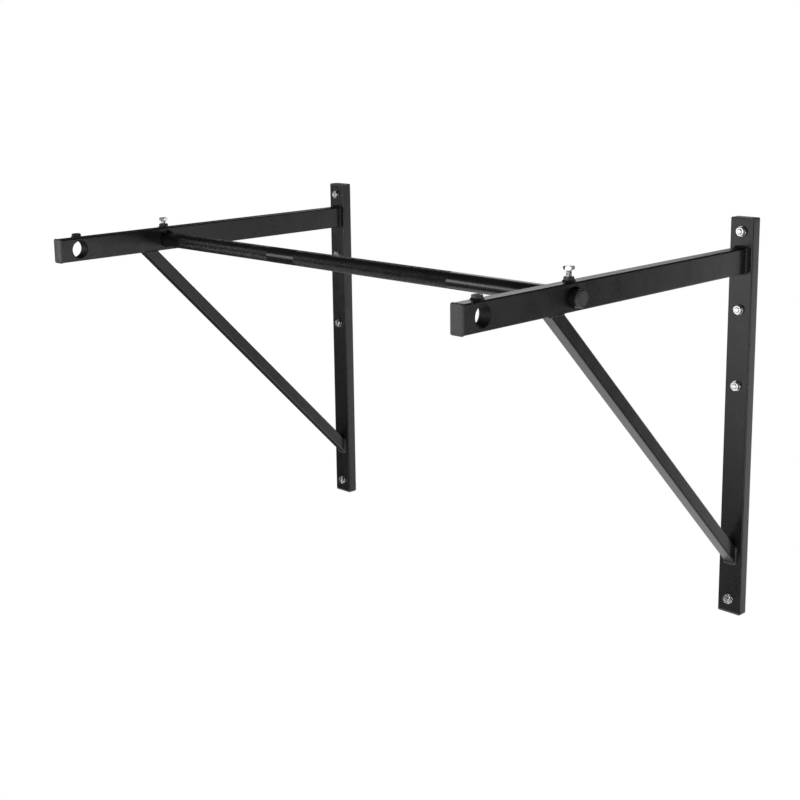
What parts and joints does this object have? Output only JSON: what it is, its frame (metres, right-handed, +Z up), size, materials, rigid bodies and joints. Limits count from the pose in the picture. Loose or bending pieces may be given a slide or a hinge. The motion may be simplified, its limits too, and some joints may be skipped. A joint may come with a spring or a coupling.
{
  "type": "wall-mounted pull up bar",
  "caption": "Wall-mounted pull up bar: triangular square-tube brackets hold a round bar, clamped by screws in one of two cross-hole positions.",
  "frame": {"origin": "on the wall plane, midway between the two brackets, level with the bottoms of the uprights' end caps", "axes": "+X along the bar from the left bracket to the right one as a user facing the wall sees them, +Y into the wall, +Z up"},
  "size_m": [1.2106, 0.825, 0.8],
  "materials": {
    "powder_coat": "satin black powder coat",
    "bar_coat": "satin black coat over knurled grip zones",
    "plastic": "moulded black polyethylene",
    "zinc": "bright zinc plated"
  },
  "bodies": {
    "brackets": {"left_upright": "powder_coat", "left_upright_top_cap": "plastic", "left_upright_bottom_cap": "plastic", "left_arm": "powder_coat", "left_arm_cap": "plastic", "left_brace": "powder_coat", "left_front_sleeve": "powder_coat", "left_rear_sleeve": "powder_coat", "left_front_weld_nut": "powder_coat", "left_rear_weld_nut": "powder_coat", "left_fixing_stud_1": "zinc", "left_fixing_washer_1": "zinc", "left_fixing_nut_1": "zinc", "left_fixing_stud_2": "zinc", "left_fixing_washer_2": "zinc", "left_fixing_nut_2": "zinc", "left_fixing_stud_3": "zinc", "left_fixing_washer_3": "zinc", "left_fixing_nut_3": "zinc", "left_fixing_stud_4": "zinc", "left_fixing_washer_4": "zinc", "left_fixing_nut_4": "zinc", "right_upright": "powder_coat", "right_upright_top_cap": "plastic", "right_upright_bottom_cap": "plastic", "right_arm": "powder_coat", "right_arm_cap": "plastic", "right_brace": "powder_coat", "right_front_sleeve": "powder_coat", "right_rear_sleeve": "powder_coat", "right_front_weld_nut": "powder_coat", "right_rear_weld_nut": "powder_coat", "right_fixing_stud_1": "zinc", "right_fixing_washer_1": "zinc", "right_fixing_nut_1": "zinc", "right_fixing_stud_2": "zinc", "right_fixing_washer_2": "zinc", "right_fixing_nut_2": "zinc", "right_fixing_stud_3": "zinc", "right_fixing_washer_3": "zinc", "right_fixing_nut_3": "zinc", "right_fixing_stud_4": "zinc", "right_fixing_washer_4": "zinc", "right_fixing_nut_4": "zinc"},
    "bar": {"bar": "bar_coat", "left_bar_plug": "plastic", "right_bar_plug": "plastic"},
    "left_lock_screw": {"left_lock_screw": "zinc"},
    "right_lock_screw": {"right_lock_screw": "zinc"}
  },
  "joints": [
    {"name": "bar_slide", "type": "slide", "parent": "brackets", "child": "bar", "axis": [1, 0, 0], "range_m": [-1.195, 1.195]},
    {"name": "left_lock_screw_lift", "type": "slide", "parent": "brackets", "child": "left_lock_screw", "axis": [0, 0, 1], "range_m": [0, 0.018]},
    {"name": "right_lock_screw_lift", "type": "slide", "parent": "brackets", "child": "right_lock_screw", "axis": [0, 0, 1], "range_m": [-0.005, 0.013]}
  ]
}
